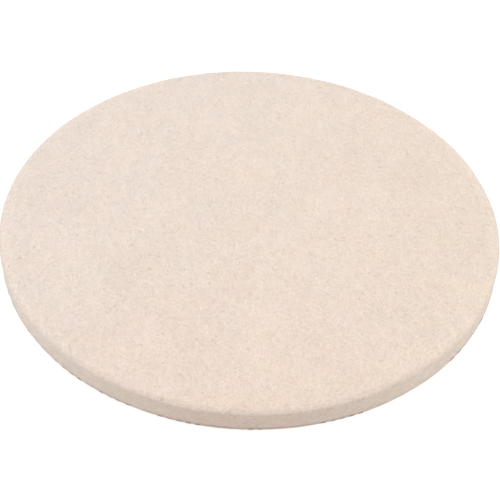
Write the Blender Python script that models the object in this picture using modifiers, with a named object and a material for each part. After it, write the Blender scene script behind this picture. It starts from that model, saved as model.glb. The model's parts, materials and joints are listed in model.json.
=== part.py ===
"""Self-adhesive felt polishing wheel for a lapidary flat lap.

A disc die-cut from thick pressed wool felt, laminated underneath to double-coated film tape: a felt-side
adhesive coat, a polyester carrier film and a plate-side adhesive coat. A paper release liner of the same
outline protects the lower coat, and comes off before the wheel is stuck to a lap plate.

Frame: metres, +Z up along the wheel's axis, origin on that axis at the liner's underside, where it rests.
"""

from math import cos, pi, sin

import bpy

# Driving dimensions
WHEEL_D = 0.1524  # nominal 6 inch lap size; the whole laminate is cut through at once
FELT_T = 0.00635  # 1/4 inch pressed felt
FELT_ADHESIVE_T = 0.00010  # heavy coat, which has to wet a fibrous face
FILM_T = 0.00005  # polyester carrier
PLATE_ADHESIVE_T = 0.00006  # lighter coat for a machined plate
LINER_T = 0.00013  # coated paper

WORK_EDGE_R = 0.0018  # soft rounding of the working edge
CUT_EDGE_R = 0.00015  # the cutter's small draw-in at the lower edge
SEGMENTS = 128
EDGE_STEPS = 6

WHEEL_R = WHEEL_D / 2
Z_PLATE_ADHESIVE = LINER_T
Z_FILM = Z_PLATE_ADHESIVE + PLATE_ADHESIVE_T
Z_FELT_ADHESIVE = Z_FILM + FILM_T
Z_FELT = Z_FELT_ADHESIVE + FELT_ADHESIVE_T
Z_TOP = Z_FELT + FELT_T

LAYERS = [  # name, underside, thickness, colour, roughness
    ("release_liner", 0.0, LINER_T, (0.62, 0.47, 0.35), 0.45),
    ("plate_side_adhesive", Z_PLATE_ADHESIVE, PLATE_ADHESIVE_T, (0.60, 0.42, 0.34), 0.25),
    ("carrier_film", Z_FILM, FILM_T, (0.74, 0.70, 0.66), 0.15),
    ("felt_side_adhesive", Z_FELT_ADHESIVE, FELT_ADHESIVE_T, (0.60, 0.42, 0.34), 0.35),
]


def clear_scene():
    for obj in list(bpy.data.objects):
        bpy.data.objects.remove(obj, do_unlink=True)


def material(name, colour, roughness):
    mat = bpy.data.materials.new(name)
    mat.use_nodes = True
    bsdf = mat.node_tree.nodes["Principled BSDF"]
    bsdf.inputs["Base Color"].default_value = (*colour, 1.0)
    bsdf.inputs["Roughness"].default_value = roughness
    bsdf.inputs["Metallic"].default_value = 0.0
    return mat


def move_to(obj, collection):
    for held_by in list(obj.users_collection):
        held_by.objects.unlink(obj)
    collection.objects.link(obj)


def quarter_arc(cx, cz, r, start, end, steps):
    """Points of an arc about (cx, cz), from angle start to angle end in radians, both ends included."""
    return [
        (cx + r * cos(start + (end - start) * i / steps), cz + r * sin(start + (end - start) * i / steps))
        for i in range(steps + 1)
    ]


def felt_profile():
    """(radius, height) pairs from the axis on the working face, out and down the cut edge, and back to the axis."""
    r = WHEEL_R
    points = [(0.0, FELT_T)]
    points += quarter_arc(r - WORK_EDGE_R, FELT_T - WORK_EDGE_R, WORK_EDGE_R, pi / 2, 0, EDGE_STEPS)
    points += quarter_arc(r - CUT_EDGE_R, CUT_EDGE_R, CUT_EDGE_R, 0, -pi / 2, 2)
    points += [(0.0, 0.0)]
    return points


def turned(name, points, z, collection):
    """A solid of revolution about Z, from its half profile on the XZ plane."""
    mesh = bpy.data.meshes.new(name)
    mesh.from_pydata([(x, 0.0, h) for x, h in points], [(i, i + 1) for i in range(len(points) - 1)], [])
    obj = bpy.data.objects.new(name, mesh)
    obj.location.z = z
    collection.objects.link(obj)
    screw = obj.modifiers.new("turn", "SCREW")
    screw.axis = "Z"
    screw.angle = 2 * pi
    screw.steps = screw.render_steps = SEGMENTS
    screw.use_merge_vertices = True
    screw.merge_threshold = 0.000005
    screw.use_smooth_shade = True
    return obj


def disc(name, z, thickness, collection):
    """A flat round layer standing on height z."""
    bpy.ops.mesh.primitive_cylinder_add(
        vertices=SEGMENTS, radius=WHEEL_R, depth=thickness, location=(0, 0, z + thickness / 2)
    )
    obj = bpy.context.object
    obj.name = obj.data.name = name
    obj.data.shade_smooth()
    obj.data.set_sharp_from_angle(angle=pi / 6)
    move_to(obj, collection)
    return obj


def main():
    clear_scene()
    parts = bpy.data.collections.new("felt_polishing_wheel")
    bpy.context.scene.collection.children.link(parts)

    # The wheel is what lifts off the liner, so its origin is on the wheel's axis at the bond line.
    wheel = bpy.data.objects.new("wheel", None)
    wheel.location.z = Z_PLATE_ADHESIVE
    parts.objects.link(wheel)

    felt = turned("felt_disc", felt_profile(), Z_FELT, parts)
    felt.data.materials.append(material("pressed_wool_felt", (0.84, 0.72, 0.62), 0.95))
    made = {"felt_disc": felt}
    for name, z, thickness, colour, roughness in LAYERS:
        made[name] = disc(name, z, thickness, parts)
        made[name].data.materials.append(material(name, colour, roughness))

    bpy.context.view_layer.update()
    for name, obj in made.items():
        if name != "release_liner":
            world = obj.matrix_world.copy()
            obj.parent = wheel
            obj.matrix_world = world


main()
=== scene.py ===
"""Looks of the self-adhesive felt polishing wheel: matted wool body, loose surface fibres, tape layers and release liner."""

import json
import math

import bpy
import numpy as np
from mathutils import Matrix, Vector

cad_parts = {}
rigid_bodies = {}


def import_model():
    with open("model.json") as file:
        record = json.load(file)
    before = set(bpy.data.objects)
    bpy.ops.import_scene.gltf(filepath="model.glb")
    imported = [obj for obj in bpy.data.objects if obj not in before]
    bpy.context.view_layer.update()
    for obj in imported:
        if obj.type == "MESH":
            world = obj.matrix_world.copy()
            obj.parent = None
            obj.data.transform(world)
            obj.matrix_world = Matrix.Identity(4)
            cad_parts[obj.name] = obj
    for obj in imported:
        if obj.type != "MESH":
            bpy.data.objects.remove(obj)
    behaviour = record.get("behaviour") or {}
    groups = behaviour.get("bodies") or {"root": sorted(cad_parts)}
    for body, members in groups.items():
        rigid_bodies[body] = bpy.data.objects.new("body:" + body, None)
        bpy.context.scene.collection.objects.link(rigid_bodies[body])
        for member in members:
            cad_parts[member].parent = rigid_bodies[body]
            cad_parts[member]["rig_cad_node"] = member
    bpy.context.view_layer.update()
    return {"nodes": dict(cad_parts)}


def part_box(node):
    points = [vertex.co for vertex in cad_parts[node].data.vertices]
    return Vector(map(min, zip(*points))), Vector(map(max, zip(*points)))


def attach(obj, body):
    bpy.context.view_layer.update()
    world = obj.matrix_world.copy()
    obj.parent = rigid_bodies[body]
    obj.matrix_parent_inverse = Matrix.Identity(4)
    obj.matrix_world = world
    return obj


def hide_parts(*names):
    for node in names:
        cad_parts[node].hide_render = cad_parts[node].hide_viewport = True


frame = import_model()

MM = 0.001
FELT_LO, FELT_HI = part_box("felt_disc")
R = FELT_HI.x / MM  # everything below is in millimetres until a mesh is made
Z0, Z1 = FELT_LO.z / MM, FELT_HI.z / MM
LAYER = {n: (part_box(n)[0].z / MM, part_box(n)[1].z / MM) for n in frame["nodes"]}

LAY = 1.45  # the wool was carded along Y: its texture runs this much further along Y than along X
ROUND_R, ROUND_Z = 1.8, 1.1  # mean rounding of the working edge, inwards and downwards
TAU = 2 * math.pi


# ---------------------------------------------------------------- noise, seeded by hashing, the same on every run


def hashed(i, seed):
    """Whole-number lattice points (n, 3) to uniform numbers 0..1."""
    with np.errstate(over="ignore"):
        h = (
            i[:, 0].astype(np.uint64) * np.uint64(0x9E3779B97F4A7C15)
            ^ i[:, 1].astype(np.uint64) * np.uint64(0xC2B2AE3D27D4EB4F)
            ^ i[:, 2].astype(np.uint64) * np.uint64(0x165667B19E3779F9)
            ^ np.uint64(seed * 7919 + 13)
        )
        h ^= h >> np.uint64(29)
        h *= np.uint64(0xBF58476D1CE4E5B9)
        h ^= h >> np.uint64(32)
        h *= np.uint64(0x94D049BB133111EB)
        h ^= h >> np.uint64(31)
    return (h >> np.uint64(11)).astype(np.float64) / float(1 << 53)


def noise(p, seed):
    """Smooth lattice noise of points (n, 3), about -1..1, with one cell per unit."""
    base = np.floor(p).astype(np.int64)
    f = p - base
    u = f * f * f * (f * (f * 6 - 15) + 10)
    total = np.zeros(len(p))
    for dx in (0, 1):
        for dy in (0, 1):
            for dz in (0, 1):
                d = np.array([dx, dy, dz])
                a = hashed(base + d, seed) * TAU
                z = hashed(base + d, seed + 101) * 2 - 1
                s = np.sqrt(1 - z * z)
                g = f - d
                dot = g[:, 0] * s * np.cos(a) + g[:, 1] * s * np.sin(a) + g[:, 2] * z
                w = np.prod(np.where(d == 1, u, 1 - u), axis=1)
                total += w * dot
    return total * 1.7


# ---------------------------------------------------------------- the felt's surface, unrolled onto a plane


def rounding(phi):
    """How much wider or narrower the working edge's rounding is at each angle, because it wanders round the wheel."""
    c = np.stack([np.cos(phi), np.sin(phi), np.zeros_like(phi)], 1)
    return 1 + 0.16 * noise(c * 5.0 + 3.1, 5) + 0.14 * noise(c * 17.0 + 7.7, 6)


def arc_length(a, b):
    """A quarter of an ellipse's perimeter."""
    return math.pi / 4 * (3 * (a + b) - np.sqrt((3 * a + b) * (a + 3 * b)))


def profile(rho, phi):
    """Radius, height and meridian normal at distance rho along the surface from the axis: face, rounding, then down the rim."""
    k = rounding(phi)
    a, b = ROUND_R * k, ROUND_Z * k
    arc = arc_length(a, b)
    t = np.clip((rho - (R - a)) / arc, 0, 1) * math.pi / 2
    down = np.maximum(rho - (R - a) - arc, 0)
    r = np.minimum(rho, R - a) + a * np.sin(t)
    z = Z1 - b + b * np.cos(t) - down
    nr, nz = b * np.sin(t), a * np.cos(t)
    size = np.hypot(nr, nz)
    return r, z, nr / size, nz / size


NICK = np.array([-21.1, -72.5, Z1 - 0.4])  # a small nick in the working edge
BURR = (75.5, math.radians(-106.3))  # a scrap of seed husk caught in it, as an unrolled radius and an angle
TUFT = (75.35, math.radians(-93.0))  # a tuft of loose fibres on it, as an unrolled radius and an angle


def relief(p, nz):
    """How far the matted surface stands off the ideal one, in mm: soft lumps on the face, flattened layers on the cut rim."""
    face = 0.040 * noise(p / 7.0, 11) + 0.030 * noise(p / 2.7, 12) + 0.018 * noise(p / 1.25, 13)
    q = p * np.array([1.0, 1.0, 2.6])
    rim = 0.055 * noise(p / 5.0, 21) + 0.050 * noise(q / 2.2, 22) + 0.030 * noise(q / 1.0, 23)
    k = np.clip(nz, 0, 1)
    nick = 0.6 * np.exp(-np.sum((p - NICK) ** 2, 1) / (2 * 0.45**2))
    return (k * face + (1 - k) * rim) - 0.03 - nick


def surface(xy):
    """Points of the unrolled plane (n, 2) to points on the felt and their normals, both (n, 3)."""
    rho = np.hypot(xy[:, 0], xy[:, 1])
    phi = np.arctan2(xy[:, 1], xy[:, 0])
    r, z, nr, nz = profile(rho, phi)
    c, s = np.cos(phi), np.sin(phi)
    p = np.stack([r * c, r * s, z], 1)
    n = np.stack([nr * c, nr * s, nz], 1)
    return p + n * relief(p, nz)[:, None], n


RHO_RIM = R - ROUND_R + float(arc_length(ROUND_R, ROUND_Z))  # about where the rim turns vertical
RHO_END = RHO_RIM + (Z1 - ROUND_Z - Z0)


# ---------------------------------------------------------------- meshes


def mesh_object(name, verts_mm, faces, smooth=True, sharp=None):
    """A mesh object from points in mm and an (n, 3) or (n, 4) array of corners."""
    verts = np.asarray(verts_mm, np.float32) * np.float32(MM)
    faces = [np.asarray(f, np.int32) for f in (faces if isinstance(faces, list) else [faces])]
    mesh = bpy.data.meshes.new(name)
    mesh.vertices.add(len(verts))
    mesh.vertices.foreach_set("co", verts.ravel())
    corners = np.concatenate([f.ravel() for f in faces])
    sizes = np.concatenate([np.full(len(f), f.shape[1], np.int32) for f in faces])
    mesh.loops.add(len(corners))
    mesh.loops.foreach_set("vertex_index", corners)
    mesh.polygons.add(len(sizes))
    mesh.polygons.foreach_set("loop_start", np.concatenate([[0], np.cumsum(sizes)[:-1]]).astype(np.int32))
    mesh.update(calc_edges=True)
    mesh.validate()
    if smooth:
        mesh.shade_smooth()
        if sharp is not None:
            mesh.set_sharp_from_angle(angle=sharp)
    obj = bpy.data.objects.new(name, mesh)
    bpy.context.scene.collection.objects.link(obj)
    return obj


def felt_body():
    """The matted wool body: a square grid wrapped over face, rounding and rim, and closed underneath."""
    face_rings, round_rings, rim_rings = 112, 9, 20
    k_all = face_rings + round_rings + rim_rings
    i, j = np.meshgrid(np.arange(-k_all, k_all + 1), np.arange(-k_all, k_all + 1), indexing="ij")
    i, j = i.ravel().astype(float), j.ravel().astype(float)
    k = np.maximum(abs(i), abs(j))
    safe = np.where(k == 0, 1, k)
    wide = abs(i) >= abs(j)
    turn = np.where(wide, np.where(i >= 0, 0.0, math.pi), np.where(j >= 0, math.pi / 2, -math.pi / 2))
    lean = np.where(wide, np.where(i >= 0, j, -j), np.where(j >= 0, -i, i)) / safe
    phi = turn + lean * math.pi / 4
    w = rounding(phi)
    a, b = ROUND_R * w, ROUND_Z * w
    arc, down = arc_length(a, b), (Z1 - b - Z0) - 0.15
    rho = np.where(
        k <= face_rings,
        k / face_rings * (R - a),
        np.where(
            k <= face_rings + round_rings,
            R - a + (k - face_rings) / round_rings * arc,
            R - a + arc + (k - face_rings - round_rings) / rim_rings * down,
        ),
    )
    points, _ = surface(np.stack([rho * np.cos(phi), rho * np.sin(phi)], 1))
    side = 2 * k_all + 1
    index = np.arange(side * side).reshape(side, side)
    quads = np.stack([index[:-1, :-1], index[1:, :-1], index[1:, 1:], index[:-1, 1:]], -1).reshape(-1, 4)
    # the outermost ring in order round the wheel, then the small draw-in at the bottom and a fan underneath
    ring = np.concatenate([index[:-1, 0], index[-1, :-1], index[1:, -1][::-1], index[0, 1:][::-1]])
    n = len(ring)
    edge = points[ring]
    r = np.hypot(edge[:, 0], edge[:, 1])
    low = edge.copy()
    low[:, :2] *= ((r - 0.13) / r)[:, None]
    low[:, 2] = Z0
    verts = np.concatenate([points, low, [[0, 0, Z0]]])
    first = len(points)
    a, b = ring, np.roll(ring, -1)
    la, lb = first + np.arange(n), first + np.roll(np.arange(n), -1)
    skirt = np.stack([a, la, lb, b], 1)
    fan = np.stack([la, np.full(n, first + n), lb], 1)
    return mesh_object("felt_pad", verts, [quads, skirt, fan], sharp=math.radians(50))


def tubes(name, paths, widths, heights, normals, tones, sides=3):
    """Closed thin tubes along paths (count, points, 3), with a flattened section lying on the surface."""
    count, steps, _ = paths.shape
    tangent = np.gradient(paths, axis=1)
    tangent /= np.linalg.norm(tangent, axis=2, keepdims=True) + 1e-12
    across = np.cross(normals, tangent)
    across /= np.linalg.norm(across, axis=2, keepdims=True) + 1e-12
    up = np.cross(tangent, across)
    rings = []
    for s in range(sides):
        a = math.pi / 2 + TAU * s / sides
        rings.append(
            paths
            + across * (widths * math.cos(a) * 0.5)[..., None]
            + up * (heights * math.sin(a) * 0.5)[..., None]
        )
    verts = np.stack(rings, 2)  # count, steps, sides, 3
    index = np.arange(count * steps * sides).reshape(count, steps, sides)
    quads = []
    for s in range(sides):
        t = (s + 1) % sides
        quads.append(
            np.stack([index[:, :-1, s], index[:, :-1, t], index[:, 1:, t], index[:, 1:, s]], -1).reshape(-1, 4)
        )
    caps = np.concatenate([index[:, 0, ::-1].reshape(-1, sides), index[:, -1, :].reshape(-1, sides)])
    obj = mesh_object(name, verts.reshape(-1, 3), [np.concatenate(quads), caps])
    tone = obj.data.attributes.new("tone", "FLOAT", "POINT")
    tone.data.foreach_set("value", np.repeat(tones, steps * sides).astype(np.float32))
    return obj


def wander(rng, start, heading, length, bend, steps):
    """Curved paths in the unrolled plane: count starts and headings to (count, steps, 2)."""
    count = len(start)
    t = np.linspace(-0.5, 0.5, steps)
    k1 = rng.normal(0, bend, count)  # turn per path, in radians
    k2 = rng.normal(0, bend * 0.7, count)
    angle = heading[:, None] + k1[:, None] * t + k2[:, None] * np.sin(TAU * (t[None] * rng.uniform(0.6, 1.3, (count, 1))) + rng.uniform(0, TAU, (count, 1)))
    step = length[:, None] / (steps - 1)
    dx, dy = np.cos(angle) * step, np.sin(angle) * step
    x, y = np.cumsum(dx, 1), np.cumsum(dy, 1)
    x -= x.mean(1, keepdims=True)
    y -= y.mean(1, keepdims=True)
    return np.stack([start[:, :1] + x, start[:, 1:] + y], -1)


def surface_fibres(name, count, seed, low=0.0, high=RHO_END, length=(0.9, 3.6), width=(0.065, 0.13), lift=0.016, bend=0.16, along_rim=0.0, steps=5):
    """Fibres matted into the surface: each lies on it, sunk at both ends, over unrolled radii low to high."""
    rng = np.random.default_rng(seed)
    rho = np.sqrt(rng.uniform(low**2, high**2, count))
    phi = rng.uniform(0, TAU, count)
    start = np.stack([rho * np.cos(phi), rho * np.sin(phi)], 1)
    heading = rng.uniform(0, TAU, count)
    heading = np.arctan2(LAY * np.sin(heading), np.cos(heading))
    if along_rim:
        rim = phi + math.pi / 2 + rng.normal(0, 0.35, count)
        heading = np.where(rng.uniform(0, 1, count) < along_rim, rim, heading)
    span = np.exp(rng.uniform(math.log(length[0]), math.log(length[1]), count))
    flat = wander(rng, start, heading, span, bend, steps)
    end = RHO_END - 0.35
    rr = np.linalg.norm(flat, axis=2)
    flat *= np.minimum(1, end / np.maximum(rr, 1e-6))[..., None]
    points, normals = surface(flat.reshape(-1, 2))
    points, normals = points.reshape(count, steps, 3), normals.reshape(count, steps, 3)
    t = np.linspace(0, 1, steps)
    w = rng.uniform(*width, count) ** 1.0
    arch = np.sin(math.pi * t) ** 0.6
    rise = rng.uniform(-0.022, lift, count)[:, None] * arch[None] - 0.05 * (1 - arch)[None]
    rise += 0.006 * rng.normal(0, 1, (count, steps)) * arch[None]
    points = points + normals * rise[..., None]
    taper = 0.25 + 0.75 * arch[None]
    widths = w[:, None] * taper
    return tubes(name, points, widths, widths * rng.uniform(0.34, 0.55, (count, 1)), normals, rng.normal(0, 1, count))


def nap(name, count, seed, high, low=0.0, length=(0.28, 0.75), width=(0.08, 0.14), steps=4, around=None, lean=None):
    """Short fibre ends standing out of the felt and bending over."""
    rng = np.random.default_rng(seed)
    rho = np.sqrt(rng.uniform(low**2, high**2, count))
    phi = rng.uniform(0, TAU, count)
    start = np.stack([rho * np.cos(phi), rho * np.sin(phi)], 1)
    if around:
        start = np.array([around[0] * math.cos(around[1]), around[0] * math.sin(around[1])]) + rng.normal(0, 0.2, (count, 2))
    foot, normals = surface(start)
    away = rng.uniform(0, TAU, count) if lean is None else rng.normal(lean, 0.9, count)
    side = np.stack([np.cos(away), np.sin(away), np.zeros(count)], 1)
    side -= normals * np.sum(side * normals, 1, keepdims=True)
    side /= np.linalg.norm(side, axis=1, keepdims=True) + 1e-9
    span = rng.uniform(*length, count)
    rise0, rise1 = rng.uniform(0.35, 0.85, count), rng.uniform(-0.25, 0.4, count)
    if lean is not None:  # a lock lying nearly flat
        rise0, rise1 = rise0 * 0.5, rise1 * 0.4
    points = [foot - normals * 0.07]
    for i in range(steps - 1):
        k = i / max(1, steps - 2)
        a = rise0 * (1 - k) + rise1 * k
        points.append(points[-1] + (normals * np.sin(a)[:, None] + side * np.cos(a)[:, None]) * (span / (steps - 1))[:, None])
    points = np.stack(points, 1)
    w = rng.uniform(*width, count)
    widths = w[:, None] * np.linspace(1.0, 0.5, steps)[None]
    return tubes(name, points, widths, widths * 0.8, np.repeat(normals[:, None], steps, 1), rng.normal(0, 1, count))


# ---------------------------------------------------------------- node helpers


class Tree:
    def __init__(self, name):
        self.mat = bpy.data.materials.new(name)
        self.mat.use_nodes = True
        self.nt = self.mat.node_tree
        self.bsdf = self.nt.nodes["Principled BSDF"]

    def node(self, kind, **settings):
        n = self.nt.nodes.new(kind)
        for k, v in settings.items():
            setattr(n, k, v)
        return n

    def put(self, socket, value):
        if isinstance(value, bpy.types.NodeSocket):
            self.nt.links.new(value, socket)
        elif value is not None:
            socket.default_value = value

    def math(self, op, a, b=None, c=None, clamp=False):
        n = self.node("ShaderNodeMath", operation=op, use_clamp=clamp)
        for i, v in enumerate((a, b, c)):
            if v is not None:
                self.put(n.inputs[i], v)
        return n.outputs[0]

    def vmath(self, op, a, b=None, scale=None):
        n = self.node("ShaderNodeVectorMath", operation=op)
        self.put(n.inputs[0], a)
        if b is not None:
            self.put(n.inputs[1], b)
        if scale is not None:
            self.put(n.inputs["Scale"], scale)
        return n.outputs["Value"] if op in ("LENGTH", "DOT_PRODUCT") else n.outputs[0]

    def split(self, v):
        n = self.node("ShaderNodeSeparateXYZ")
        self.put(n.inputs[0], v)
        return n.outputs

    def join(self, x, y, z):
        n = self.node("ShaderNodeCombineXYZ")
        for i, v in enumerate((x, y, z)):
            self.put(n.inputs[i], v)
        return n.outputs[0]

    def noise(self, vector, scale, detail=2.0, rough=0.5, out=0, lac=2.0):
        n = self.node("ShaderNodeTexNoise")
        self.put(n.inputs["Vector"], vector)
        n.inputs["Scale"].default_value = scale
        n.inputs["Detail"].default_value = detail
        n.inputs["Roughness"].default_value = rough
        n.inputs["Lacunarity"].default_value = lac
        return n.outputs[out]

    def ramp(self, value, lo, hi, to_lo=0.0, to_hi=1.0, smooth=True):
        n = self.node("ShaderNodeMapRange", interpolation_type="SMOOTHSTEP" if smooth else "LINEAR")
        self.put(n.inputs["Value"], value)
        for key, v in (("From Min", lo), ("From Max", hi), ("To Min", to_lo), ("To Max", to_hi)):
            self.put(n.inputs[key], v)
        return n.outputs[0]

    def mix(self, factor, a, b):
        n = self.node("ShaderNodeMix", data_type="RGBA")
        self.put(n.inputs["Factor"], factor)
        self.put(n.inputs["A"], a if isinstance(a, bpy.types.NodeSocket) else (*a, 1.0))
        self.put(n.inputs["B"], b if isinstance(b, bpy.types.NodeSocket) else (*b, 1.0))
        return n.outputs["Result"]

    def scale_colour(self, colour, by):
        n = self.node("ShaderNodeVectorMath", operation="SCALE")
        self.put(n.inputs[0], colour)
        self.put(n.inputs["Scale"], by)
        return n.outputs[0]

    def bump(self, height, distance, strength=1.0):
        n = self.node("ShaderNodeBump")
        self.put(n.inputs["Height"], height)
        n.inputs["Distance"].default_value = distance
        n.inputs["Strength"].default_value = strength
        return n.outputs["Normal"]

    def millimetres(self):
        """The piece's own coordinates, in mm."""
        return self.vmath("SCALE", self.node("ShaderNodeTexCoord").outputs["Object"], scale=1000.0)


def streaks(t, p, angle, long, wide, seed, lo, hi):
    """Fine elongated strokes, all running near one heading, from stretched noise."""
    rot = t.node("ShaderNodeVectorRotate", rotation_type="Z_AXIS")
    t.put(rot.inputs["Vector"], p)
    rot.inputs["Angle"].default_value = angle
    q = t.vmath("MULTIPLY", rot.outputs[0], (1.0 / long, 1.0 / wide, 2.2))
    q = t.vmath("ADD", q, (seed * 17.31, seed * 9.77, seed * 3.3))
    return t.ramp(t.noise(q, 1.0, 1.0), lo, hi)


def laid(t, p):
    """Coordinates drawn out along Y, the way the wool was carded."""
    return t.vmath("MULTIPLY", p, (1.0, 1.0 / LAY, 1.0))


def strongest(t, values):
    out = values[0]
    for v in values[1:]:
        out = t.math("MAXIMUM", out, v)
    return out


# Wool colours of the felt body: partly the wool's own tone and partly painted shade, set darker than the loose fibres
# lying on it for the shade in the gaps between them.
LIGHT_WOOL = (0.676, 0.573, 0.494)
DARK_WOOL = (0.594, 0.500, 0.430)


def mottle(t, p):
    """Tone from wool packed more or less tightly: slow patches, clumps, and locks of parallel fibre."""
    q = laid(t, p)
    parts = [(t.noise(q, 0.085, 2.0, 0.55), 0.10), (t.noise(t.vmath("ADD", q, (51.0, 7.0, 3.0)), 0.36, 2.0, 0.5), 0.09)]
    parts.append((t.noise(t.vmath("ADD", q, (5.0, 61.0, 2.0)), 1.15, 1.0, 0.5), 0.13))
    locks = []
    for i, seen in enumerate([0.35, 1.3, 2.05, 2.8]):
        angle = math.atan2(LAY * math.sin(seen), math.cos(seen))
        locks.append(streaks(t, p, -angle, 3.6, 0.42, 31 + i, 0.50, 0.74))
    parts.append((strongest(t, locks), 0.085))
    total = 0.003
    for value, share in parts:
        total = t.math("MULTIPLY_ADD", t.math("SUBTRACT", value, 0.5), share, total)
    return total


def tinge(t, p, colour):
    """Hue drifting slightly over the wool: painted cool light at the back left and painted warm light in front, cooler
    in random patches, warmer on the cut rim.

    The working edge carries painted shade, a little darker on its rounding in front, and a painted highlight, paler on
    its rounding at the sides.
    """
    x, y, z = t.split(p)
    radius = t.math("SQRT", t.math("ADD", t.math("MULTIPLY", x, x), t.math("MULTIPLY", y, y)))
    # painted highlight: the rounding is made paler at the sides, where the side lamps catch it
    side_edge_painted_highlight = t.math("MULTIPLY", t.ramp(radius, R - 4.2, R - 1.8), t.ramp(z, Z1 - 1.9, Z1 - 0.5))
    side_edge_painted_highlight = t.math("MULTIPLY", side_edge_painted_highlight, t.ramp(t.math("ABSOLUTE", x), 22.0, 62.0))
    # painted shade: the upper part of the rounding is made darker in front, standing in for the shade where the edge
    # turns down
    front_edge_painted_shade = t.math("MULTIPLY", t.ramp(radius, R - 2.3, R - 0.7), t.ramp(z, Z1 - 1.6, Z1 - 0.8))
    front_edge_painted_shade = t.math("MULTIPLY", front_edge_painted_shade, t.ramp(y, -36.0, -66.0))
    cut = t.ramp(z, Z1 - 0.8, Z1 - 2.4)
    # across: a hue drift over the whole wheel, painted cool light from the back left (the cool term below)
    across = t.math("DIVIDE", t.math("SUBTRACT", t.math("MULTIPLY", y, 0.5), t.math("MULTIPLY", x, 0.86)), R)
    patch = t.math("SUBTRACT", t.noise(t.vmath("ADD", p, (3.0, 77.0, 5.0)), 0.11, 2.0, 0.6), 0.5)
    pink = t.math("SUBTRACT", t.noise(t.vmath("ADD", p, (91.0, 17.0, 45.0)), 0.16, 2.0, 0.6), 0.5)
    cool = t.math("ADD", t.math("MULTIPLY", across, 0.030), t.math("MULTIPLY", patch, 0.10))
    shade = t.math("MULTIPLY_ADD", side_edge_painted_highlight, 0.035, 1.0)
    shade = t.math("MULTIPLY_ADD", front_edge_painted_shade, -0.050, shade)
    colour = t.scale_colour(colour, t.math("MULTIPLY_ADD", cut, -0.004, shade))
    # front: painted warm light on the front of the wheel, face and rim; warm adds it to the rim stain, and it also
    # makes the hue pinker
    front = t.math("MULTIPLY", t.ramp(y, -22.0, -66.0), t.ramp(t.math("ABSOLUTE", x), 58.0, 18.0))
    stain = t.math("MULTIPLY", t.math("MULTIPLY", cut, t.ramp(y, -30.0, -52.0)), t.ramp(t.math("ABSOLUTE", t.math("SUBTRACT", x, 3.0)), 28.0, 5.0))
    warm = t.math("MULTIPLY_ADD", front, 0.010, t.math("MULTIPLY", stain, 0.013))
    colour = t.scale_colour(colour, t.math("MULTIPLY_ADD", stain, -0.018, 1.0))
    cool = t.math("MULTIPLY_ADD", cut, t.ramp(x, 22.0, 60.0, -0.012, 0.018), cool)
    cool = t.math("SUBTRACT", cool, t.math("MULTIPLY", warm, 1.3))
    pink = t.math("ADD", pink, t.math("MULTIPLY", warm, 28.0))
    red = t.math("ADD", 0.992, t.math("ADD", t.math("MULTIPLY", cool, -0.22), t.math("MULTIPLY", pink, 0.035)))
    green = t.math("ADD", 1.006, t.math("ADD", t.math("MULTIPLY", cool, 0.10), t.math("MULTIPLY", pink, -0.035)))
    blue = t.math("ADD", 1.016, cool)
    return t.vmath("MULTIPLY", colour, t.join(red, green, blue))


def smudge(t, p, colour):
    """A faint grey handling mark beside the left edge."""
    off = t.vmath("MULTIPLY", t.vmath("SUBTRACT", p, (-66.5, 1.0, 0.0)), (1 / 4.2, 1 / 13.0, 0.0))
    far = t.math("ADD", t.vmath("LENGTH", off), t.math("MULTIPLY", t.math("SUBTRACT", t.noise(p, 0.35, 3.0, 0.6), 0.5), 1.6))
    return t.mix(t.math("MULTIPLY", t.ramp(far, 1.15, 0.35), 0.06), colour, (0.30, 0.30, 0.33))


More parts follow.
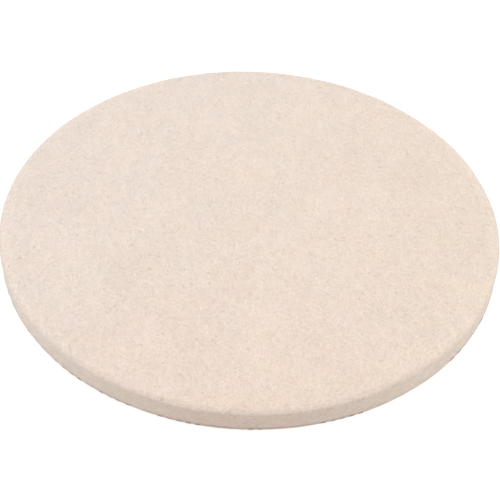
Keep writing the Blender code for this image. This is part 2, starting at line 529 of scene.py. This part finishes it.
def felt_material():
    t = Tree("pressed_wool_felt")
    p = t.millimetres()
    x, y, z = t.split(p)
    along = t.math("MULTIPLY", t.math("ARCTAN2", y, x), R)
    radius = t.math("SQRT", t.math("ADD", t.math("MULTIPLY", x, x), t.math("MULTIPLY", y, y)))
    on_rim = t.ramp(radius, R - 0.9, R - 0.25)
    # face: strokes in many headings on curled coordinates
    warp = t.vmath("SUBTRACT", t.noise(p, 0.16, 1.0, out=1), (0.5, 0.5, 0.5))
    pc = t.vmath("ADD", p, t.vmath("SCALE", warp, scale=3.2))
    face = []
    for i, seen in enumerate([0.1, 0.62, 1.05, 1.51, 1.98, 2.43, 2.86]):
        angle = math.atan2(LAY * math.sin(seen), math.cos(seen))
        face.append(streaks(t, pc, -angle, 2.6, 0.22 + 0.03 * (i % 3), i + 1, 0.52, 0.74))
    face_fibre = strongest(t, face)
    fine = t.math(
        "ADD",
        t.math("MULTIPLY", t.ramp(t.noise(laid(t, p), 2.5, 1.0, 0.6), 0.30, 0.70, smooth=False), 0.6),
        t.math("MULTIPLY", t.ramp(t.noise(laid(t, p), 4.6, 1.0, 0.6), 0.30, 0.70, smooth=False), 0.4),
    )
    # small pits between the fibres: dented in the bump and painted darker, as the shade that falls in them
    pit_dents_and_shade = t.ramp(t.noise(t.vmath("ADD", laid(t, p), (13.0, 5.0, 8.0)), 3.3, 1.0, 0.6), 0.34, 0.26)
    # rim: cut ends of flattened layers
    rimp = t.join(along, t.math("MULTIPLY", z, 1.0), radius)
    r1 = t.ramp(t.noise(t.vmath("MULTIPLY", rimp, (0.55, 3.4, 0.4)), 1.0, 2.0), 0.46, 0.72)
    r2 = t.ramp(t.noise(t.vmath("MULTIPLY", rimp, (2.1, 2.6, 1.0)), 1.0, 2.0), 0.46, 0.72)
    rim_fibre = t.math("MAXIMUM", r1, r2)
    fibre = t.mix(on_rim, t.join(face_fibre, face_fibre, face_fibre), t.join(rim_fibre, rim_fibre, rim_fibre))
    fibre = t.split(fibre)[0]
    tone = t.math("ADD", t.math("MULTIPLY", fibre, 0.48), t.math("MULTIPLY", fine, 0.52))
    tone = t.math("SUBTRACT", tone, t.math("MULTIPLY", pit_dents_and_shade, 0.05))
    colour = t.mix(t.ramp(tone, 0.05, 0.90, smooth=False), DARK_WOOL, LIGHT_WOOL)
    colour = smudge(t, p, tinge(t, p, t.scale_colour(colour, t.math("ADD", 1.0, mottle(t, p)))))
    t.put(t.bsdf.inputs["Base Color"], colour)
    t.put(t.bsdf.inputs["Roughness"], t.ramp(tone, 0.0, 1.0, 0.97, 0.82))
    t.bsdf.inputs["Specular IOR Level"].default_value = 0.18
    t.bsdf.inputs["Sheen Weight"].default_value = 0.12
    t.bsdf.inputs["Sheen Roughness"].default_value = 0.6
    t.bsdf.inputs["Sheen Tint"].default_value = (1.0, 0.95, 0.9, 1.0)
    t.put(t.bsdf.inputs["Normal"], t.bump(tone, 0.00010, 0.4))
    return t.mat


def fibre_material(name="wool_fibre", dark=(0.638, 0.540, 0.468), light=(0.790, 0.676, 0.588)):
    t = Tree(name)
    p = t.millimetres()
    tone = t.node("ShaderNodeAttribute", attribute_name="tone").outputs["Fac"]
    grain = t.noise(p, 2.4, 2.0, 0.6)
    k = t.math("ADD", t.math("MULTIPLY", tone, 0.26), grain)
    colour = t.mix(t.ramp(k, 0.15, 0.85, smooth=False), dark, light)
    colour = smudge(t, p, tinge(t, p, t.scale_colour(colour, t.math("ADD", 1.0, mottle(t, p)))))
    t.put(t.bsdf.inputs["Base Color"], colour)
    t.put(t.bsdf.inputs["Roughness"], t.ramp(grain, 0.2, 0.8, 0.72, 0.92))
    t.bsdf.inputs["Specular IOR Level"].default_value = 0.25
    t.bsdf.inputs["Sheen Weight"].default_value = 0.12
    t.bsdf.inputs["Sheen Roughness"].default_value = 0.6
    t.put(t.bsdf.inputs["Normal"], t.bump(t.noise(p, 9.0, 1.0), 0.00003, 0.4))
    return t.mat


def burr_material():
    t = Tree("seed_husk")
    p = t.millimetres()
    grain = t.noise(p, 3.1, 3.0, 0.6)
    t.put(t.bsdf.inputs["Base Color"], t.mix(t.ramp(grain, 0.3, 0.7), (0.23, 0.165, 0.115), (0.42, 0.32, 0.235)))
    t.put(t.bsdf.inputs["Roughness"], t.ramp(grain, 0.2, 0.8, 0.55, 0.8))
    t.put(t.bsdf.inputs["Normal"], t.bump(grain, 0.00004, 0.5))
    return t.mat


def dress(obj, mat, body="wheel"):
    obj.data.materials.clear()
    obj.data.materials.append(mat)
    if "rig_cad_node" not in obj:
        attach(obj, body)
    return obj


# ---------------------------------------------------------------- the object

FELT = felt_material()
FIBRE = fibre_material()

pad = dress(felt_body(), FELT)
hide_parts("felt_disc")

for i in range(4):
    dress(surface_fibres(f"felt_fibres_{i + 1}", 7200, 100 + i, high=RHO_RIM + 0.3), FIBRE)
dress(
    surface_fibres("felt_fibres_rim", 7200, 140, low=R - 3.0, length=(0.7, 3.0), width=(0.06, 0.15), lift=0.03, along_rim=0.55),
    FIBRE,
)

for i in range(2):
    dress(nap(f"felt_nap_{i + 1}", 5200, 160 + i, high=R - 1.9), FIBRE)
dress(nap("felt_nap_edge", 1300, 170, high=RHO_RIM + 1.2, low=R - 2.2, length=(0.25, 0.6), width=(0.06, 0.10)), FIBRE)
tuft = nap("felt_tuft", 14, 171, high=1.0, length=(0.6, 1.6), width=(0.12, 0.19), steps=6, around=TUFT, lean=TUFT[1] + 0.75)
# the tuft's wool is paler than the rest and painted brighter still, a painted highlight where it catches the light
dress(tuft, fibre_material("pale_tuft_wool_painted_highlight", (0.78, 0.69, 0.61), (0.90, 0.82, 0.74)))
burr = nap("felt_burr", 6, 172, high=1.0, length=(0.45, 0.9), width=(0.10, 0.17), around=BURR)
dress(burr, burr_material())


def round_noise(phi, pitch, seed):
    """Noise round the rim, with features about pitch mm long."""
    k = R / pitch
    return noise(np.stack([np.cos(phi) * k, np.sin(phi) * k, np.full_like(phi, 0.37)], 1), seed)


def layer(name, outline, segments=1440, draw=0.02):
    """A thin round layer between its CAD node's faces, with its own cut outline: outline(phi) is how far it stands out, in mm."""
    lo, hi = LAYER[name]
    phi = np.linspace(0, TAU, segments, endpoint=False)
    edge = R + outline(phi)
    soft = min(0.3 * (hi - lo), draw)
    rows = []
    for share, z in ((0.35, hi), (0.75, hi), (0.97, hi)):
        rows.append((np.full(segments, R * share), z))
    rows += [(edge - soft * 1.6, hi), (edge - soft * 0.4, hi - soft * 0.35), (edge, hi - soft)]
    rows += [(edge, lo + soft), (edge - soft * 0.4, lo + soft * 0.35), (edge - soft * 1.6, lo)]
    for share, z in ((0.97, lo), (0.75, lo), (0.35, lo)):
        rows.append((np.full(segments, R * share), z))
    verts = np.concatenate([np.stack([r * np.cos(phi), r * np.sin(phi), np.full(segments, z)], 1) for r, z in rows])
    index = np.arange(len(rows) * segments).reshape(len(rows), segments)
    nxt = np.roll(index, -1, 1)
    quads = np.stack([index[:-1], index[1:], nxt[1:], nxt[:-1]], -1).reshape(-1, 4)
    top, bottom = len(verts), len(verts) + 1
    verts = np.concatenate([verts, [[0, 0, hi], [0, 0, lo]]])
    fans = np.concatenate(
        [
            np.stack([np.full(segments, top), index[0], nxt[0]], 1),
            np.stack([np.full(segments, bottom), nxt[-1], index[-1]], 1),
        ]
    )
    return mesh_object(PIECE[name], verts, [quads, fans], sharp=math.radians(60))


def adhesive_edge(seed):
    """Tape adhesive squeezed out by the cutter in short beads."""

    def outline(phi):
        bead = np.clip(round_noise(phi, 1.3, seed) - 0.15, 0, 1) * np.clip(0.5 + 0.9 * round_noise(phi, 16.0, seed + 1), 0, 1)
        return 0.015 * round_noise(phi, 5.0, seed + 2) + 0.16 * bead - 0.01

    return outline


def liner_edge(phi):
    """Cut a touch outside the felt, and less evenly."""
    return 0.11 + 0.08 * round_noise(phi, 11.0, 61) + 0.03 * round_noise(phi, 2.4, 62)


PIECE = {"felt_side_adhesive": "adhesive_coat_felt_side", "plate_side_adhesive": "adhesive_coat_plate_side", "release_liner": "liner_paper"}


def adhesive_material(name, tint):
    """Pressure-sensitive adhesive: clear amber, glossy, wetted onto what is behind it in patches."""
    t = Tree(name)
    p = t.millimetres()
    patch = t.ramp(t.noise(p, 0.55, 3.0, 0.6), 0.42, 0.60)
    thread = t.math(
        "MAXIMUM",
        streaks(t, p, 0.5, 2.6, 0.2, 11, 0.54, 0.72),
        t.math("MAXIMUM", streaks(t, p, 1.6, 2.6, 0.2, 12, 0.54, 0.72), streaks(t, p, 2.7, 2.6, 0.2, 13, 0.54, 0.72)),
    )
    grime = t.ramp(t.noise(t.vmath("ADD", p, (9.0, 31.0, 2.0)), 0.9, 3.0, 0.7), 0.60, 0.72)
    k = t.math("ADD", t.math("MULTIPLY", patch, 0.55), t.math("MULTIPLY", thread, 0.45))
    colour = t.mix(k, tuple(c * 0.93 for c in tint), tuple(min(1.0, c * 1.24) for c in tint))
    x, y, _ = t.split(p)
    radius = t.math("SQRT", t.math("ADD", t.math("MULTIPLY", x, x), t.math("MULTIPLY", y, y)))
    at_edge = t.ramp(radius, R - 0.7, R - 0.05)
    colour = t.mix(t.math("MULTIPLY", t.math("MULTIPLY", grime, at_edge), 0.75), colour, (0.16, 0.085, 0.065))
    t.put(t.bsdf.inputs["Base Color"], colour)
    t.put(t.bsdf.inputs["Roughness"], t.ramp(t.noise(p, 1.7, 3.0, 0.6), 0.3, 0.7, 0.16, 0.34))
    t.bsdf.inputs["Specular IOR Level"].default_value = 0.5
    height = t.math("ADD", t.math("MULTIPLY", thread, 0.5), t.noise(p, 1.1, 3.0, 0.55))
    t.put(t.bsdf.inputs["Normal"], t.bump(height, 0.00005, 0.35))
    return t.mat


def film_material():
    t = Tree("polyester_film")
    p = t.millimetres()
    grain = t.noise(p, 2.3, 2.0, 0.6)
    colour = t.mix(t.ramp(grain, 0.3, 0.7), (0.64, 0.57, 0.525), (0.75, 0.67, 0.62))
    t.put(t.bsdf.inputs["Base Color"], colour)
    t.put(t.bsdf.inputs["Roughness"], t.ramp(grain, 0.3, 0.7, 0.12, 0.25))
    t.put(t.bsdf.inputs["Normal"], t.bump(grain, 0.00002, 0.2))
    return t.mat


# rows of plain slanted bars, in groups of five, every other row half a group along
PRINT_TURN, ROW_PITCH, ROW_HALF, ROW_FROM = -0.30, 10.7, 3.5, -71.05
BAR_PITCH, GROUP_PITCH, GROUP_FROM = 2.6, 27.6, -44.2


def liner_material():
    """Tan release paper: smooth release coat above, and below bare paper printed with rows of plain slanted bars."""
    t = Tree("release_paper")
    p = t.millimetres()
    facing = t.split(t.node("ShaderNodeTexCoord").outputs["Normal"])[2]
    coated = t.ramp(facing, 0.55, 0.85)
    pulp = t.noise(p, 1.6, 4.0, 0.65)
    fleck = t.math("MAXIMUM", streaks(t, p, 0.4, 1.3, 0.12, 21, 0.56, 0.74), streaks(t, p, 1.9, 1.3, 0.12, 22, 0.56, 0.74))
    cloud = t.noise(p, 0.12, 3.0, 0.6)
    paper = t.mix(t.ramp(pulp, 0.3, 0.7), (0.640, 0.540, 0.478), (0.715, 0.612, 0.550))
    paper = t.mix(t.math("MULTIPLY", fleck, 0.30), paper, (0.36, 0.25, 0.185))
    paper = t.scale_colour(paper, t.ramp(cloud, 0.3, 0.7, 0.95, 1.05))
    rot = t.node("ShaderNodeVectorRotate", rotation_type="Z_AXIS")
    t.put(rot.inputs["Vector"], p)
    rot.inputs["Angle"].default_value = PRINT_TURN
    u, v, _ = t.split(rot.outputs[0])
    row = t.math("DIVIDE", t.math("SUBTRACT", v, ROW_FROM), ROW_PITCH)
    line = t.math("FLOOR", row)
    up_row = t.math("MULTIPLY", t.math("SUBTRACT", t.math("FRACT", row), 0.5), ROW_PITCH)
    in_row = t.ramp(t.math("ABSOLUTE", up_row), ROW_HALF, ROW_HALF - 0.12)
    slant = t.math("SUBTRACT", u, t.math("MULTIPLY", up_row, 0.3))
    start = t.math("SUBTRACT", GROUP_FROM, t.math("MULTIPLY", line, GROUP_PITCH / 2))
    place = t.math("MULTIPLY", t.math("FRACT", t.math("DIVIDE", t.math("SUBTRACT", slant, start), GROUP_PITCH)), GROUP_PITCH)
    bar = t.math("ABSOLUTE", t.math("SUBTRACT", t.math("FRACT", t.math("DIVIDE", place, BAR_PITCH)), 0.5))
    bar = t.math("MULTIPLY", t.ramp(bar, 0.27, 0.23), t.math("LESS_THAN", place, 5 * BAR_PITCH))
    ink_wear = t.ramp(t.noise(p, 2.6, 3.0, 0.7), 0.26, 0.44)
    ink = t.math("MULTIPLY", t.math("MULTIPLY", in_row, bar), ink_wear)
    x, y, _ = t.split(p)
    radius = t.math("SQRT", t.math("ADD", t.math("MULTIPLY", x, x), t.math("MULTIPLY", y, y)))
    soaked = t.ramp(radius, R - 0.5, R - 0.1, 0.10, 0.80)
    shown = t.math("MULTIPLY", ink, t.math("MAXIMUM", t.ramp(coated, 0.0, 1.0, 0.92, 0.0), soaked))
    colour = t.mix(shown, paper, (0.150, 0.034, 0.030))
    t.put(t.bsdf.inputs["Base Color"], colour)
    t.put(t.bsdf.inputs["Roughness"], t.math("ADD", t.ramp(coated, 0.0, 1.0, 0.74, 0.24), t.math("MULTIPLY", t.math("SUBTRACT", pulp, 0.5), 0.16)))
    t.put(t.bsdf.inputs["Normal"], t.bump(t.math("ADD", pulp, t.math("MULTIPLY", fleck, 0.5)), 0.00003, 0.35))
    return t.mat


def build_layers():
    upper = dress(layer("felt_side_adhesive", adhesive_edge(41)), adhesive_material("adhesive_upper", (0.60, 0.515, 0.455)))
    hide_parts("felt_side_adhesive")
    lower = dress(layer("plate_side_adhesive", adhesive_edge(51)), adhesive_material("adhesive_lower", (0.62, 0.53, 0.47)))
    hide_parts("plate_side_adhesive")
    dress(frame["nodes"]["carrier_film"], film_material())
    liner = dress(layer("release_liner", liner_edge), liner_material(), body="liner")
    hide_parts("release_liner")


build_layers()

# ---------------------------------------------------------------- floor, light and camera


def sweep():
    """A white table that curves up into a low wall far behind, all the way round."""
    rows = [(2.2, 0.0), (2.7, 0.03), (3.0, 0.12), (3.2, 0.28), (3.3, 0.52), (3.35, 1.3)]
    n = 96
    phi = np.linspace(0, TAU, n, endpoint=False)
    verts = np.concatenate([np.stack([r * np.cos(phi), r * np.sin(phi), np.full(n, h)], 1) for r, h in rows])
    index = np.arange(len(rows) * n).reshape(len(rows), n)
    nxt = np.roll(index, -1, 1)
    faces = [tuple(range(n))] + [tuple(int(v) for v in q) for q in np.stack([index[:-1], nxt[:-1], nxt[1:], index[1:]], -1).reshape(-1, 4)]
    return verts.tolist(), faces


floor_mesh = bpy.data.meshes.new("floor")
floor_verts, floor_faces = sweep()
floor_mesh.from_pydata(floor_verts, [], floor_faces)
for polygon in floor_mesh.polygons[1:]:
    polygon.use_smooth = True
floor = bpy.data.objects.new("floor", floor_mesh)
bpy.context.scene.collection.objects.link(floor)
floor.location.z = -0.0001
t = Tree("floor")
t.bsdf.inputs["Base Color"].default_value = (0.30, 0.30, 0.30, 1)
t.bsdf.inputs["Emission Color"].default_value = (1, 1, 1, 1)
t.bsdf.inputs["Emission Strength"].default_value = 0.72
t.bsdf.inputs["Roughness"].default_value = 0.9
t.bsdf.inputs["Specular IOR Level"].default_value = 0.0
floor_mesh.materials.append(t.mat)

world = bpy.data.worlds.new("studio")
world.use_nodes = True
world.node_tree.nodes["Background"].inputs["Color"].default_value = (1.0, 1.0, 1.0, 1)
world.node_tree.nodes["Background"].inputs["Strength"].default_value = 0.50
bpy.context.scene.world = world


def area_light(name, place, size, power, colour):
    data = bpy.data.lights.new(name, "AREA")
    data.shape = "DISK"
    data.size = size
    data.energy = power
    data.color = colour
    obj = bpy.data.objects.new(name, data)
    bpy.context.scene.collection.objects.link(obj)
    obj.matrix_world = Matrix.Translation(Vector(place)) @ (-Vector(place)).to_track_quat("-Z", "Y").to_matrix().to_4x4()
    return obj


area_light("overhead", (0, 0.12, 1.10), 0.9, 2.9, (1.0, 0.99, 0.985))
area_light("left", (-0.75, 0.02, 0.70), 0.6, 4.9, (1.0, 0.995, 1.0))
area_light("right", (0.75, 0.02, 0.70), 0.6, 4.8, (1.0, 0.99, 0.985))

scene = bpy.context.scene
scene.view_settings.view_transform = "Standard"
scene.view_settings.look = "None"

# The camera looks down at about 43 degrees, a little rolled, with the base centre just off its axis.
FOCAL, ELEV, ROLL, DIST, PAN_X, PAN_Y = 72.0, 43.28, 2.2, 4.1125 * R * MM, -0.052, -1.286
ce, se = math.cos(math.radians(ELEV)), math.sin(math.radians(ELEV))
look = Matrix(((1, 0, 0), (0, se, -ce), (0, ce, se)))
turn = Matrix.Rotation(math.radians(PAN_Y), 3, "X") @ Matrix.Rotation(math.radians(PAN_X), 3, "Y") @ Matrix.Rotation(math.radians(ROLL), 3, "Z")
cam_data = bpy.data.cameras.new("camera")
cam_data.sensor_width = 36.0
cam_data.lens = FOCAL
cam_data.clip_start, cam_data.clip_end = 0.01, 20
cam = bpy.data.objects.new("camera", cam_data)
scene.collection.objects.link(cam)
cam.matrix_world = Matrix.Translation((0, -DIST * ce, DIST * se)) @ (look @ turn).to_4x4()
scene.camera = cam
